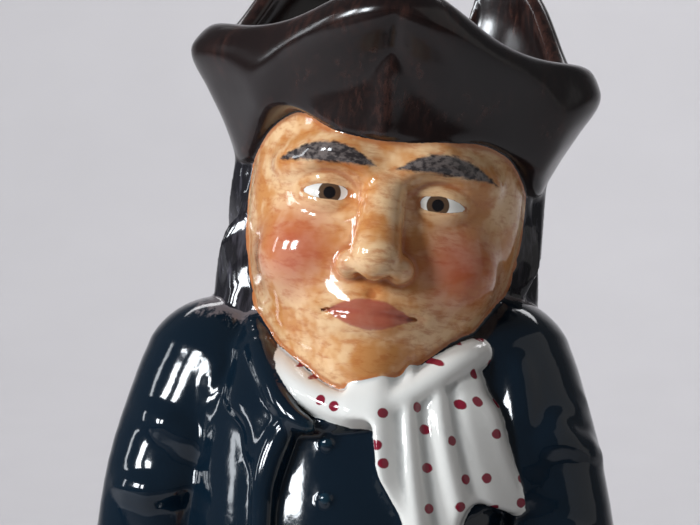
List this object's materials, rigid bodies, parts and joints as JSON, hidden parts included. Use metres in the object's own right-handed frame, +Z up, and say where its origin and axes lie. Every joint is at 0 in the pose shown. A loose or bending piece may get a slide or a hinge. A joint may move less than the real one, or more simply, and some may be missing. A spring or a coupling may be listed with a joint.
{
  "type": "toby jug",
  "caption": "Glazed ceramic jug in the form of a seated man with a tricorn hat, long hair and a spotted neck scarf; hollow, open at the hat, with a loop handle.",
  "frame": {"origin": "centre of the flat underside of the base", "axes": "+Z up, the figure faces -Y, +X towards the figure's left hand"},
  "size_m": [0.0786, 0.0899, 0.1566],
  "materials": {
    "glaze": "glossy hand-painted underglaze colours under a clear glaze"
  },
  "bodies": {
    "root": {"jug": "glaze"}
  },
  "joints": []
}
